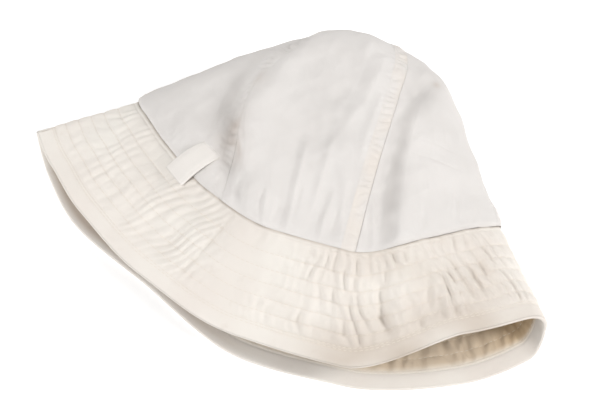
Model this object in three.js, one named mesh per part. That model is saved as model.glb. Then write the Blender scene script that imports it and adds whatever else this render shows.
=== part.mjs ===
// A soft cotton sailor cap with its brim turned down, lying on its side as it was put down.
// The crown is six gores joined by flat-felled seams. The brim is a doubled cotton band, sewn round
// its whole width. The mouth faces -Y, the crown's far end +Y, and +Z is up from the table.
import * as THREE from "three";

// Driving sizes, in millimetres
const crownSpan = 232;       // across the crown at its seam with the brim, as it lies
const crownReach = 145;      // from the front of that seam to the crown's far end
const lieHeight = 74;        // from the table to the top of the crown
const brimReach = 64;        // from the seam to the brim's edge
const brimWall = 2.4;        // two layers of drill and their interlining
const crownWall = 1.4;       // one layer of cotton
const pieceGap = 0.3;        // between pieces that are sewn to each other
const felledWidth = 8;       // a flat-felled seam's double band
const felledRise = 0.6;      // how far the band stands above the gore
const felledStep = 0.5;      // the width of the step at the band's edge
const seamPuff = 2.6;        // how far the crown swells out over the brim
const puffStart = 2;         // how soon above the seam it does so
const puffFade = 22;         // and how far up the crown the swelling is lost
const gatherDepth = 0.9;     // the small gathers where the crown is eased into the brim
const gatherFade = 12;       // how far up the crown they run
const gatherCount = 30;
const puckerDepth = 0.7;     // the ripples between the brim's stitch rows
const puckerCount = 34;
const puckerPatches = 7;     // how often round the brim the ripples grow and die away
const hemWidth = 10;         // the smooth edge outside the first stitch row
const looseHeight = 9;       // above the table by this much, the cloth takes its folds in full
const loopWidth = 17;
const loopLength = 29;
const loopHang = 8;          // the part of its length that lies on the brim
const loopWall = 1.6;
const loopRise = 3.8;        // how far the loop stands off the seam that it crosses
const loopSeat = 0.9;        // under the loop's sewn end, over the crown's own curve
const loopSlant = 20;        // degrees that the loop leans from square to the seam
const loopPlace = 0.368;     // the share of the round from the right-hand fold to the loop

const halfSpan = crownSpan / 2;

// The brim all round: degrees from the right-hand fold, over the upper layer, and back below.
// ahead is the seam's place towards the far end in half spans, seamRise and edgeRise are heights
// in lieHeight, aside and out are the edge's place from the seam in brimReach.
const brimSections = [
  { turn: 0, ahead: 0.414, seamRise: 0.378, aside: 0.70, out: 0.70, edgeRise: 0.23 },
  { turn: 22.5, ahead: 0.328, seamRise: 0.554, aside: 0.70, out: 0.66, edgeRise: 0.56 },
  { turn: 45, ahead: 0.108, seamRise: 0.743, aside: 0.61, out: 0.64, edgeRise: 0.60 },
  { turn: 67.5, ahead: -0.108, seamRise: 0.784, aside: 0.27, out: 0.83, edgeRise: 0.34 },
  { turn: 90, ahead: -0.125, seamRise: 0.743, aside: -0.09, out: 0.82, edgeRise: 0.23 },
  { turn: 112.5, ahead: -0.013, seamRise: 0.635, aside: -0.39, out: 0.77, edgeRise: 0.19 },
  { turn: 135, ahead: 0.194, seamRise: 0.5, aside: -0.55, out: 0.78, edgeRise: 0.19 },
  { turn: 157.5, ahead: 0.371, seamRise: 0.365, aside: -0.66, out: 0.72, edgeRise: 0.15 },
  { turn: 180, ahead: 0.457, seamRise: 0.23, aside: -0.83, out: 0.56, edgeRise: 0.08 },
  { turn: 202.5, ahead: 0.336, seamRise: 0.012, aside: -0.66, out: 0.72, edgeRise: 0 },
  { turn: 225, ahead: 0.172, seamRise: 0, aside: -0.58, out: 0.80, edgeRise: 0 },
  { turn: 247.5, ahead: 0.06, seamRise: 0, aside: -0.41, out: 0.87, edgeRise: 0 },
  { turn: 270, ahead: -0.043, seamRise: 0, aside: 0.05, out: 1.055, edgeRise: 0 },
  { turn: 292.5, ahead: -0.052, seamRise: 0, aside: 0.31, out: 0.94, edgeRise: 0 },
  { turn: 315, ahead: 0.095, seamRise: 0, aside: 0.70, out: 0.79, edgeRise: 0 },
  { turn: 337.5, ahead: 0.293, seamRise: 0.03, aside: 0.77, out: 0.73, edgeRise: 0.02 },
];

const seamFront = halfSpan * Math.min(...brimSections.map((row) => row.ahead));

// The crown from its seam to its tip. along is the share of the way, left and right are the side
// folds in half spans, the ahead columns are places in crownReach and the rise columns heights in
// lieHeight, each for the left fold, the right fold, the upper layer and the layer on the table.
const crownRings = [
  { along: 0, left: -1.026, right: 0.974, leftAhead: 0.456, rightAhead: 0.422, upperAhead: 0,
    lowerAhead: 0.064, leftRise: 0.23, rightRise: 0.378, upperRise: 0.757, lowerRise: 0 },
  { along: 0.25, left: -0.855, right: 0.81, leftAhead: 0.61, rightAhead: 0.584, upperAhead: 0.287,
    lowerAhead: 0.328, leftRise: 0.297, rightRise: 0.405, upperRise: 0.92, lowerRise: 0 },
  { along: 0.5, left: -0.645, right: 0.645, leftAhead: 0.75, rightAhead: 0.753, upperAhead: 0.571,
    lowerAhead: 0.591, leftRise: 0.365, rightRise: 0.446, upperRise: 1, lowerRise: 0 },
  { along: 0.7, left: -0.44, right: 0.5, leftAhead: 0.85, rightAhead: 0.88, upperAhead: 0.8,
    lowerAhead: 0.78, leftRise: 0.405, rightRise: 0.473, upperRise: 0.973, lowerRise: 0 },
  { along: 0.85, left: -0.26, right: 0.35, leftAhead: 0.94, rightAhead: 0.975, upperAhead: 0.968,
    lowerAhead: 0.91, leftRise: 0.39, rightRise: 0.46, upperRise: 0.79, lowerRise: 0.03 },
  { along: 0.94, left: -0.13, right: 0.22, leftAhead: 0.982, rightAhead: 0.992, upperAhead: 0.992,
    lowerAhead: 0.982, leftRise: 0.38, rightRise: 0.42, upperRise: 0.63, lowerRise: 0.13 },
  { along: 1, left: 0.03, right: 0.03, leftAhead: 1, rightAhead: 1, upperAhead: 1,
    lowerAhead: 1, leftRise: 0.36, rightRise: 0.36, upperRise: 0.36, lowerRise: 0.36 },
];

// The gore seams: where each leaves the brim, passes the crown's middle and comes to its tip, as
// shares of the round from the right-hand fold
const goreSeams = [
  { foot: 0.170, middle: 0.154, tip: 0.12 },
  { foot: 0.315, middle: 0.35, tip: 0.32 },
  { foot: 0.49, middle: 0.50, tip: 0.48 },
  { foot: 0.66, middle: 0.66, tip: 0.64 },
  { foot: 0.83, middle: 0.82, tip: 0.80 },
  { foot: 1.0, middle: 0.98, tip: 0.96 },
];
const seamMiddle = 0.45;     // the share of the way up at which middle is read

// The crown's dents and ridges: place as a share of the round and of the way to the tip, spread and
// length in the same units, lean in rounds per whole way, and depth in lieHeight, less than nothing
// for a ridge. The first four are the long folds beside the two upper gore seams.
const crownFolds = [
  { share: 0.345, along: 0.22, spread: 0.018, length: 0.20, lean: 0.22, depth: 0.055 },
  { share: 0.385, along: 0.34, spread: 0.018, length: 0.18, lean: 0.03, depth: 0.035 },
  { share: 0.131, along: 0.20, spread: 0.013, length: 0.26, lean: -0.02, depth: 0.05 },
  { share: 0.105, along: 0.56, spread: 0.014, length: 0.18, lean: -0.2, depth: 0.045 },
  { share: 0.098, along: 0.33, spread: 0.02, length: 0.25, lean: -0.05, depth: -0.03 },
  { share: 0.33, along: 0.5, spread: 0.02, length: 0.3, lean: 0.02, depth: -0.03 },
  { share: 0.218, along: 0.62, spread: 0.012, length: 0.13, lean: -0.03, depth: 0.016 },
  { share: 0.204, along: 0.43, spread: 0.012, length: 0.13, lean: -0.12, depth: 0.016 },
  { share: 0.238, along: 0.12, spread: 0.009, length: 0.09, lean: 0, depth: 0.02 },
  { share: 0.216, along: 0.13, spread: 0.009, length: 0.11, lean: 0, depth: 0.02 },
  { share: 0.187, along: 0.14, spread: 0.009, length: 0.09, lean: 0, depth: 0.02 },
  { share: 0.30, along: 0.06, spread: 0.01, length: 0.07, lean: 0.05, depth: 0.035 },
];

// The brim's dents and ridges, in the same way: across is the share of the way from its edge
const brimFolds = [
  { share: 0.148, across: 0.5, spread: 0.009, length: 0.33, depth: 0.03 },
  { share: 0.135, across: 0.5, spread: 0.009, length: 0.33, depth: -0.03 },
  { share: 0.121, across: 0.42, spread: 0.009, length: 0.25, depth: 0.025 },
  { share: 0.062, across: 0.42, spread: 0.009, length: 0.3, depth: 0.025 },
  { share: 0.045, across: 0.45, spread: 0.01, length: 0.3, depth: -0.02 },
  { share: 0.298, across: 0.66, spread: 0.008, length: 0.35, depth: 0.018 },
  { share: 0.33, across: 0.55, spread: 0.009, length: 0.3, depth: 0.02 },
  { share: 0.355, across: 0.4, spread: 0.009, length: 0.25, depth: 0.02 },
];

const degrees = Math.PI / 180;
const round = 2 * Math.PI;

// A monotone cubic through the values of one column of a table
function through(stations, values, place) {
  const last = stations.length - 1;
  const at = Math.min(Math.max(place, stations[0]), stations[last]);
  let row = 0;
  while (row < last - 1 && at > stations[row + 1]) {
    row += 1;
  }
  const slopeOf = (index) => (values[index + 1] - values[index]) / (stations[index + 1] - stations[index]);
  const tangentAt = (index) => {
    if (index === 0) {
      return slopeOf(0);
    }
    if (index === last) {
      return slopeOf(last - 1);
    }
    const before = slopeOf(index - 1);
    const after = slopeOf(index);
    return before * after <= 0 ? 0 : 2 * before * after / (before + after);
  };
  const width = stations[row + 1] - stations[row];
  const t = (at - stations[row]) / width;
  const near = values[row] * (2 * t ** 3 - 3 * t ** 2 + 1) + values[row + 1] * (3 * t ** 2 - 2 * t ** 3);
  return near + width * (tangentAt(row) * (t ** 3 - 2 * t ** 2 + t) + tangentAt(row + 1) * (t ** 3 - t ** 2));
}

// The brim's table closed on itself, with the rows that its curve needs past either end
const lastTurns = brimSections.slice(-2).map((row) => ({ ...row, turn: row.turn - 360 }));
const firstTurns = brimSections.slice(0, 3).map((row) => ({ ...row, turn: row.turn + 360 }));
const roundSections = [...lastTurns, ...brimSections, ...firstTurns];
const brimColumn = (key, turn) =>
  through(roundSections.map((row) => row.turn), roundSections.map((row) => row[key]), turn);
const crownColumn = (key, along) =>
  through(crownRings.map((row) => row.along), crownRings.map((row) => row[key]), along);

function seamPoint(angle) {
  const turn = angle / degrees;
  const middle = (crownRings[0].left + crownRings[0].right) / 2;
  const reach = (crownRings[0].right - crownRings[0].left) / 2;
  return new THREE.Vector3(
    halfSpan * (middle + reach * Math.cos(angle)),
    halfSpan * brimColumn("ahead", turn),
    lieHeight * brimColumn("seamRise", turn),
  );
}

function edgePoint(angle) {
  const turn = angle / degrees;
  const seam = seamPoint(angle);
  return new THREE.Vector3(
    seam.x + brimReach * brimColumn("aside", turn),
    seam.y - brimReach * brimColumn("out", turn),
    lieHeight * brimColumn("edgeRise", turn),
  );
}

// How full the upper layer is above each side fold, 1 for a round and less for a squarer side
const leftFullness = 1.05;
const rightFullness = 0.8;
const turnedUp = 0.45;       // the share of the half span that curves up off the table at each side
const seamFormEnd = 0.6;     // the share of the way up at which the seam's own form is lost

// A crown ring without the seam's own form
function plainRing(along, angle) {
  const c = Math.cos(angle);
  const s = Math.sin(angle);
  const column = (key) => crownColumn(key, along);
  const rightward = (1 + c) / 2;
  const mix = (left, right) => left + (right - left) * rightward;
  const foldAhead = mix(column("leftAhead"), column("rightAhead"));
  const foldRise = mix(column("leftRise"), column("rightRise"));
  const upper = s >= 0;
  const farAhead = upper ? column("upperAhead") : column("lowerAhead");
  const fullness = mix(leftFullness, rightFullness);
  const lift = Math.max(0, 1 - Math.abs(s) / turnedUp) ** 2;
  const rise = upper
    ? foldRise + (column("upperRise") - foldRise) * s ** fullness
    : column("lowerRise") + (foldRise - column("lowerRise")) * lift;
  return new THREE.Vector3(
    halfSpan * mix(column("left"), column("right")),
    seamFront + crownReach * (foldAhead + (farAhead - foldAhead) * s * s),
    lieHeight * rise,
  );
}

function crownPoint(along, angle) {
  const own = seamPoint(angle).sub(plainRing(0, angle));
  const fade = Math.max(0, 1 - along / seamFormEnd) ** 2;
  return plainRing(along, angle).addScaledVector(own, fade);
}

// A ring as a function of the share of its length, from the right-hand fold over the upper layer
const ringSteps = 240;
function byLength(pointAt) {
  const sums = [0];
  let last = pointAt(0);
  for (let step = 1; step <= ringSteps; step += 1) {
    const next = pointAt(step / ringSteps * round);
    sums.push(sums[step - 1] + next.distanceTo(last));
    last = next;
  }
  const total = sums[ringSteps];
  const angleAt = (share) => {
    const whole = Math.floor(share);
    const wanted = (share - whole) * total;
    let step = 0;
    while (step < ringSteps - 1 && sums[step + 1] < wanted) {
      step += 1;
    }
    const part = (wanted - sums[step]) / (sums[step + 1] - sums[step]);
    return (step + part) / ringSteps * round;
  };
  return { total, angleAt, pointAt: (share) => pointAt(angleAt(share)) };
}

const nudge = 0.004;         // the share of the way to a neighbour that gives the cloth's direction
const seamRing = byLength(seamPoint);
const knownRings = new Map();
function crownRingAt(along) {
  if (!knownRings.has(along)) {
    knownRings.set(along, byLength((angle) => crownPoint(along, angle)));
  }
  return knownRings.get(along);
}

// The outward normal from two directions on the skin
function outward(alongStep, roundStep) {
  return new THREE.Vector3().crossVectors(alongStep, roundStep).normalize();
}

// The height of a table's folds at one place of the cloth
function foldHeight(folds, share, place, key) {
  let sum = 0;
  for (const fold of folds) {
    const away = (place - fold[key]) / fold.length;
    const aside = (share - fold.share - (fold.lean ?? 0) * (place - fold[key])) / fold.spread;
    sum -= fold.depth * lieHeight * Math.exp(-aside * aside - away * away);
  }
  return sum;
}

// Folds, puckers and gathers fade where the cloth lies flat on the table
const looseness = (height) => Math.min(1, Math.max(0, height / looseHeight));

function crownRelief(along, share, height) {
  const fromSeam = along * crownReach;
  const puff = seamPuff * (1 - Math.exp(-fromSeam / puffStart)) * Math.exp(-fromSeam / puffFade);
  const gather = gatherDepth * Math.exp(-fromSeam / gatherFade) * Math.cos(round * gatherCount * share);
  const folds = foldHeight(crownFolds, share - Math.floor(share), along, "along");
  return looseness(height) * (puff + gather + folds);
}

const crownMeridian = 1.15 * crownReach; // from the seam over the crown to its tip
const seamAlong = pieceGap / 2 / crownMeridian;
const seamAcross = 1 - pieceGap / 2 / brimReach;

function crownSkin(along, share) {
  const ring = crownRingAt(along);
  const point = ring.pointAt(share);
  const ahead = crownRingAt(Math.min(1, along + nudge)).pointAt(share);
  const back = crownRingAt(Math.max(0, along - nudge)).pointAt(share);
  const roundStep = ring.pointAt(share + nudge).sub(ring.pointAt(share - nudge));
  const normal = outward(ahead.sub(back), roundStep);
  const outer = point.addScaledVector(normal, crownRelief(along, share, point.z));
  outer.z = Math.max(0, outer.z);
  return { outer, normal };
}

function brimSkin(across, share) {
  const angle = seamRing.angleAt(share);
  const spoke = (from) => edgePoint(from).lerp(seamPoint(from), across);
  const point = spoke(angle);
  const alongStep = seamPoint(angle).sub(edgePoint(angle));
  const roundStep = spoke(angle + nudge).sub(spoke(angle - nudge));
  const normal = outward(alongStep, roundStep);
  const fromEdge = across * brimReach;
  const sewn = Math.max(0, Math.min(1, (fromEdge - hemWidth) / hemWidth));
  const ripple = Math.cos(round * puckerCount * share) * Math.sin(round * puckerPatches * share);
  const folds = foldHeight(brimFolds, share - Math.floor(share), across, "across");
  const outer = point.addScaledVector(normal, looseness(point.z) * sewn * (puckerDepth * ripple + folds));
  outer.z = Math.max(0, outer.z);
  return { outer, normal };
}

// Brim and crown share one direction through the cloth where they meet
function seamNormal(share) {
  return brimSkin(1, share).normal.add(crownSkin(0, share).normal).normalize();
}

// A wall between an outer grid of points and an inner one
function wallGeometry(outer, inner, closed) {
  const rows = outer.length;
  const columns = outer[0].length;
  const spans = closed ? columns : columns - 1;
  const at = (layer, row, column) => (layer * rows + row) * columns + column % columns;
  const indices = [];
  const quad = (a, b, c, d) => indices.push(a, b, c, a, c, d);
  for (let column = 0; column < spans; column += 1) {
    for (let row = 0; row < rows - 1; row += 1) {
      quad(at(0, row, column), at(0, row + 1, column), at(0, row + 1, column + 1), at(0, row, column + 1));
      quad(at(1, row, column), at(1, row, column + 1), at(1, row + 1, column + 1), at(1, row + 1, column));
    }
    const end = rows - 1;
    quad(at(0, 0, column), at(0, 0, column + 1), at(1, 0, column + 1), at(1, 0, column));
    quad(at(1, end, column), at(1, end, column + 1), at(0, end, column + 1), at(0, end, column));
  }
  if (!closed) {
    const end = columns - 1;
    for (let row = 0; row < rows - 1; row += 1) {
      quad(at(1, row, 0), at(1, row + 1, 0), at(0, row + 1, 0), at(0, row, 0));
      quad(at(0, row, end), at(0, row + 1, end), at(1, row + 1, end), at(1, row, end));
    }
  }
  const geometry = new THREE.BufferGeometry();
  geometry.setFromPoints([...outer.flat(), ...inner.flat()]);
  geometry.setIndex(indices);
  geometry.computeVertexNormals();
  return geometry;
}

function addPiece(group, name, geometry, material) {
  const mesh = new THREE.Mesh(geometry, material);
  mesh.name = name;
  group.add(mesh);
}

const crownCotton = new THREE.MeshStandardMaterial({ color: 0xe4dfdc, roughness: 0.9, metalness: 0 });
const brimDrill = new THREE.MeshStandardMaterial({ color: 0xefe6dc, roughness: 0.92, metalness: 0 });
const loopCotton = new THREE.MeshStandardMaterial({ color: 0xf0e7e1, roughness: 0.9, metalness: 0 });

const cap = new THREE.Group();

// Where a gore's columns stand on one crown ring, as shares of the round: its felled band first
const bandColumns = 3;
const plainColumns = 14;
const mostBand = 0.4;        // of a gore's width, where it narrows to its tip
const mostStep = 0.1;
const seamShare = (seam, along) => through([0, seamMiddle, 1], [seam.foot, seam.middle, seam.tip], along);
function goreShares(gore, along) {
  const ring = crownRingAt(along);
  const next = (gore + 1) % goreSeams.length;
  const lap = next === 0 ? 1 : 0;
  const start = seamShare(goreSeams[gore], along);
  const goreWidth = ring.total * (seamShare(goreSeams[next], along) + lap - start);
  const band = Math.min(felledWidth, mostBand * goreWidth);
  const step = Math.min(felledStep, mostStep * goreWidth);
  const places = [pieceGap / 2, band / 2, band];
  const plainStart = band + step;
  const plainEnd = goreWidth - pieceGap / 2;
  for (let column = 0; column <= plainColumns; column += 1) {
    places.push(plainStart + (plainEnd - plainStart) * column / plainColumns);
  }
  return places.map((place) => start + place / ring.total);
}

// The brim: one doubled band all round, from its turned edge to just short of the crown. Its
// columns stand on the gores' own, so that the two keep an even gap.
const brimRows = 8;
const brimShares = goreSeams.flatMap((seam, gore) => goreShares(gore, 0).slice(0, -1));
const brimOuter = [];
const brimInner = [];
for (let row = 0; row <= brimRows; row += 1) {
  const across = row / brimRows * seamAcross;
  const outerRow = [];
  const innerRow = [];
  for (const share of brimShares) {
    const { outer, normal } = brimSkin(across, share);
    const inward = row === brimRows ? seamNormal(share) : normal;
    outerRow.push(outer);
    innerRow.push(outer.clone().addScaledVector(inward, -brimWall));
  }
  brimOuter.push(outerRow);
  brimInner.push(innerRow);
}
addPiece(cap, "brim", wallGeometry(brimOuter, brimInner, true), brimDrill);

// The gores: each starts with its felled band and ends just short of the next gore's. Their rows
// crowd at the seam, where the crown swells, and stop short of the point where the tips meet.
const swellAlongs = [seamAlong, 0.012, 0.03, 0.08];
const goreAlongs = [...swellAlongs, 0.16, 0.26, 0.36, 0.47, 0.58, 0.69, 0.79, 0.88, 0.95, 0.985];
for (let gore = 0; gore < goreSeams.length; gore += 1) {
  const goreOuter = [];
  const goreInner = [];
  for (const along of goreAlongs) {
    const outerRow = [];
    const innerRow = [];
    goreShares(gore, along).forEach((share, column) => {
      const { outer, normal } = crownSkin(along, share);
      const inward = along === seamAlong ? seamNormal(share) : normal;
      innerRow.push(outer.clone().addScaledVector(inward, -crownWall));
      const rise = column < bandColumns ? felledRise * looseness(outer.z) : 0;
      outerRow.push(outer.clone().addScaledVector(normal, rise));
    });
    goreOuter.push(outerRow);
    goreInner.push(innerRow);
  }
  addPiece(cap, `crown_gore_${gore + 1}`, wallGeometry(goreOuter, goreInner, false), crownCotton);
}

// The strap loop: a flat strap sewn down on the crown, standing off the seam as it crosses it
const loopRows = 10;
const loopColumns = 4;
const loopNormal = seamNormal(loopPlace);
const loopOuter = [];
const loopInner = [];
for (let row = 0; row <= loopRows; row += 1) {
  const part = row / loopRows;
  const outerRow = [];
  const innerRow = [];
  for (let column = 0; column <= loopColumns; column += 1) {
    const aside = loopWidth * (0.5 - column / loopColumns);
    const lean = Math.tan(loopSlant * degrees);
    const shareAt = (run) => loopPlace - (aside + run * lean) / seamRing.total;
    const onCrown = loopLength - loopHang;
    const low = brimSkin(1 - loopHang / brimReach, shareAt(-loopHang)).outer;
    const high = crownSkin(onCrown / crownMeridian, shareAt(onCrown)).outer;
    const stand = loopSeat + loopWall * (1 - part) + loopRise * Math.sin(Math.PI * part);
    const inner = low.lerp(high, part).addScaledVector(loopNormal, stand);
    innerRow.push(inner);
    outerRow.push(inner.clone().addScaledVector(loopNormal, loopWall));
  }
  loopOuter.push(outerRow);
  loopInner.push(innerRow);
}
addPiece(cap, "strap_loop", wallGeometry(loopOuter, loopInner, false), loopCotton);

// The origin is under the middle of the whole cap, on the table
const reach = new THREE.Box3().setFromObject(cap);
cap.position.set(-(reach.min.x + reach.max.x) / 2, -(reach.min.y + reach.max.y) / 2, 0);

export default cap;
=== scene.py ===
import math

import bpy
import numpy as np
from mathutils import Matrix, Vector


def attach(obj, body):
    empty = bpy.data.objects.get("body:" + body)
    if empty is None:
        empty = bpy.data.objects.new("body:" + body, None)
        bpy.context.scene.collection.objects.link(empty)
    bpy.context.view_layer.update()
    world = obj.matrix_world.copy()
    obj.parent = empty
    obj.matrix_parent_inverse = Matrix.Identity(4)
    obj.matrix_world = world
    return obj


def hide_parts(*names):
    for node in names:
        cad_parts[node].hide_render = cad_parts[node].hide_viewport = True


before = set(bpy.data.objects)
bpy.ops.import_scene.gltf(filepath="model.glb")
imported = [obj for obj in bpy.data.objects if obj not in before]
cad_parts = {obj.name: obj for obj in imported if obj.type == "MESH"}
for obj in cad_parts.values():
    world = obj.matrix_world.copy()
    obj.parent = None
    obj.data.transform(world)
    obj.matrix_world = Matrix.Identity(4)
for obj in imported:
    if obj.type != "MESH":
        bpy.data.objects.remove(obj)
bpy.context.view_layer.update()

# The brim
# A doubled band of heavy cream cotton drill with an interlining, cut as a shallow cone. Its outer
# edge is turned, and rows of lockstitch run right round it, which pucker the cloth between them.
# It is turned down all round, and its lower half lies flat on the table.
CROWN_SPAN = 232.0
CROWN_REACH = 145.0
LIE_HEIGHT = 74.0
BRIM_REACH = 64.0
BRIM_WALL = 2.4
HALF_SPAN = CROWN_SPAN / 2
SEAM_LEFT = -1.026
SEAM_RIGHT = 0.974
MIDDLE_ON_TABLE = np.array([6.95, -29.15, 0.0])
BRIM_PATTERN = np.array([
    # turn, ahead, seam rise, aside, out, edge rise
    (0, 0.414, 0.378, 0.70, 0.70, 0.23),
    (22.5, 0.328, 0.554, 0.70, 0.66, 0.56),
    (45, 0.108, 0.743, 0.61, 0.64, 0.60),
    (67.5, -0.108, 0.784, 0.27, 0.83, 0.34),
    (90, -0.125, 0.743, -0.09, 0.82, 0.23),
    (112.5, -0.013, 0.635, -0.39, 0.77, 0.19),
    (135, 0.194, 0.5, -0.55, 0.78, 0.19),
    (157.5, 0.371, 0.365, -0.66, 0.72, 0.15),
    (180, 0.457, 0.23, -0.83, 0.56, 0.08),
    (202.5, 0.336, 0.012, -0.66, 0.72, 0),
    (225, 0.172, 0, -0.58, 0.80, 0),
    (247.5, 0.06, 0, -0.41, 0.87, 0),
    (270, -0.043, 0, 0.05, 1.055, 0),
    (292.5, -0.052, 0, 0.31, 0.94, 0),
    (315, 0.095, 0, 0.70, 0.79, 0),
    (337.5, 0.293, 0.03, 0.77, 0.73, 0.02),
])
STITCH_ROWS = (9.6, 11.1, 18.0, 26.0, 34.0, 42.0, 51.0, 61.5)
LOOSE_HEIGHT = 9.0
NUDGE = 0.004
ROUND = 2 * math.pi
MILLIMETRE = 0.001


def through(stations, values, place):
    """A smooth line through a pattern's stations that never overshoots them"""
    slope = np.diff(values) / np.diff(stations)
    product = slope[:-1] * slope[1:]
    both = np.where(product > 0, slope[:-1] + slope[1:], 1)
    inner = np.where(product > 0, 2 * product / both, 0)
    tangent = np.concatenate([slope[:1], inner, slope[-1:]])
    place = np.clip(place, stations[0], stations[-1])
    row = np.clip(np.searchsorted(stations, place) - 1, 0, len(stations) - 2)
    width = stations[row + 1] - stations[row]
    t = (place - stations[row]) / width
    rise = values[row] * (2 * t**3 - 3 * t**2 + 1) + values[row + 1] * (3 * t**2 - 2 * t**3)
    return rise + width * (tangent[row] * (t**3 - 2 * t**2 + t) + tangent[row + 1] * (t**3 - t**2))


def brim_column(column, angle):
    """One measure of the brim all round, from its closed table"""
    turn = np.degrees(angle)
    full_turn = np.eye(1, 6) * 360
    table = np.concatenate([BRIM_PATTERN[-2:] - full_turn, BRIM_PATTERN, BRIM_PATTERN[:3] + full_turn])
    return through(table[:, 0], table[:, column], turn)


def seam_line(angle):
    """The line where the brim is sewn to the crown"""
    middle = (SEAM_LEFT + SEAM_RIGHT) / 2
    reach = (SEAM_RIGHT - SEAM_LEFT) / 2
    return np.stack([
        HALF_SPAN * (middle + reach * np.cos(angle)),
        HALF_SPAN * brim_column(1, angle),
        LIE_HEIGHT * brim_column(2, angle),
    ], axis=-1)


def edge_line(angle):
    """The brim's turned outer edge"""
    seam = seam_line(angle)
    return np.stack([
        seam[..., 0] + BRIM_REACH * brim_column(3, angle),
        seam[..., 1] - BRIM_REACH * brim_column(4, angle),
        LIE_HEIGHT * brim_column(5, angle),
    ], axis=-1)


def measured_round(line, steps=480):
    """A closed line walked by its own length: its total and the angle at any share of it"""
    angle = np.linspace(0, ROUND, steps + 1)
    points = line(angle)
    run = np.concatenate([[0], np.cumsum(np.linalg.norm(np.diff(points, axis=0), axis=-1))])
    return run[-1], lambda share: np.interp((share % 1) * run[-1], run, angle)


def facing(alongward, roundward):
    """The direction that the cloth faces, from two directions on it"""
    normal = np.cross(alongward, roundward)
    return normal / np.linalg.norm(normal, axis=-1, keepdims=True)


def loose(height):
    """How far the cloth is free to fold: not at all where it lies on the table"""
    return np.clip(height / LOOSE_HEIGHT, 0, 1)


def shorter_way(turned):
    """A share of the way round, counted the shorter way"""
    return (turned + 0.5) % 1 - 0.5


def folds(table, share, place):
    """Dents and ridges pressed into the cloth, each from one row of a table"""
    height = np.zeros(np.broadcast(share, place).shape)
    for at, on, spread, length, lean, depth in table:
        away = (place - on) / length
        aside = shorter_way(share - at - lean * (place - on)) / spread
        height -= depth * LIE_HEIGHT * np.exp(-aside**2 - away**2)
    return height


def crumple(points, wave, seed, count=14):
    """Soft unevenness of the cloth, waves of one size from all sides"""
    random = np.random.default_rng(seed)
    height = np.zeros(points.shape[:-1])
    for _ in range(count):
        way = random.normal(size=3)
        way /= np.linalg.norm(way)
        size = wave * random.uniform(0.75, 1.35)
        height += np.cos(points @ way * ROUND / size + random.uniform(0, ROUND))
    return height / math.sqrt(count)


def pinched(turns):
    """Puckers with round backs and sharp valleys, one to each turn, as much up as down"""
    mean_sine = 0.64
    return np.abs(np.sin(math.pi * turns)) - mean_sine


# A share is counted round the cap from its right-hand fold, over the upper side to the left-hand
# fold and back below. Across is counted over the brim, from its edge to its seam.
BRIM_FOLDS = (
    # share, across, spread, length, lean, depth
    (0.148, 0.5, 0.009, 0.33, 0, 0.03),
    (0.135, 0.5, 0.009, 0.33, 0, -0.03),
    (0.121, 0.42, 0.009, 0.25, 0, 0.025),
    (0.062, 0.42, 0.009, 0.3, 0, 0.025),
    (0.045, 0.45, 0.01, 0.3, 0, -0.02),
    (0.298, 0.66, 0.008, 0.35, 0, 0.018),
    (0.33, 0.55, 0.009, 0.3, 0, 0.02),
    (0.355, 0.4, 0.009, 0.25, 0, 0.02),
)
# The sharp creases on them, each only a few millimetres wide
BRIM_CREASES = (
    (0.1495, 0.50, 0.0034, 0.28, 0.004, 0.034),
    (0.1425, 0.44, 0.0034, 0.28, 0.010, -0.026),
    (0.1300, 0.36, 0.0030, 0.20, 0.012, 0.026),
    (0.1240, 0.40, 0.0030, 0.22, 0.014, -0.020),
    (0.1140, 0.50, 0.0028, 0.20, -0.02, 0.018),
    (0.1730, 0.60, 0.0028, 0.20, -0.010, 0.012),
    (0.1870, 0.45, 0.0030, 0.25, -0.004, 0.010),
    (0.1000, 0.50, 0.0028, 0.20, 0.01, 0.018),
    (0.0820, 0.45, 0.0030, 0.22, 0.01, 0.018),
    (0.0695, 0.46, 0.0028, 0.22, 0.012, 0.020),
    (0.0640, 0.42, 0.0026, 0.22, 0.012, -0.016),
    (0.0560, 0.50, 0.0030, 0.24, 0.012, 0.024),
    (0.3010, 0.62, 0.0018, 0.36, -0.014, 0.022),
)
# Where the rows have drawn the cloth up: share, spread, slant, ripples in the round, and the height
# of the ripples that cross the rows and of those that stop at them
PUCKER_PATCHES = (
    (0.336, 0.040, -0.054, 112, 2.2, 0.3),
    (0.162, 0.060, 0.006, 92, 1.9, 1.6),
    (0.076, 0.058, 0.014, 88, 2.2, 1.5),
    (0.440, 0.060, -0.03, 96, 0.8, 0.5),
    (0.800, 0.190, 0.01, 70, 2.6, 2.0),
    (0.235, 0.030, 0.0, 84, 0.3, 0.5),
)
# How hard the rows pull the cloth in beyond the usual: share, spread and how much more or less
ROW_PULLS = ((0.264, 0.032, -0.8), (0.345, 0.050, -0.7), (0.165, 0.035, 0.4), (0.085, 0.045, -0.3))
DEEPEST_PUCKER = 1.5
# The turned edge stays smooth, and the puckering sets in over the next few millimetres
SMOOTH_EDGE = 10.0
SETS_IN_OVER = 6.0
WAVE_HEIGHT = 0.4
WAVES_ROUND = 34
WAVE_GROUPS = 7
# How much of a crease is left where the brim lies on the table
CREASED_LYING = 0.35
SLACK_HEIGHT = 0.15
# The cloth stands up between two rows and is drawn down at each
PUFF_BETWEEN_ROWS = 0.28
ROW_GROOVE = 0.34
ROW_HALF_WIDTH = 0.55
FINE_CRUMPLE = 0.22
# Ripples that stop at the rows are closer together than those that cross them
MORE_RIPPLES = 31
# The seam to the crown holds the puckers flat over its last millimetres
SEAM_HOLD = 0.85
SEAM_HOLD_OVER = 1.5
SEAM_TOTAL, seam_angle = measured_round(seam_line)


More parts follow.
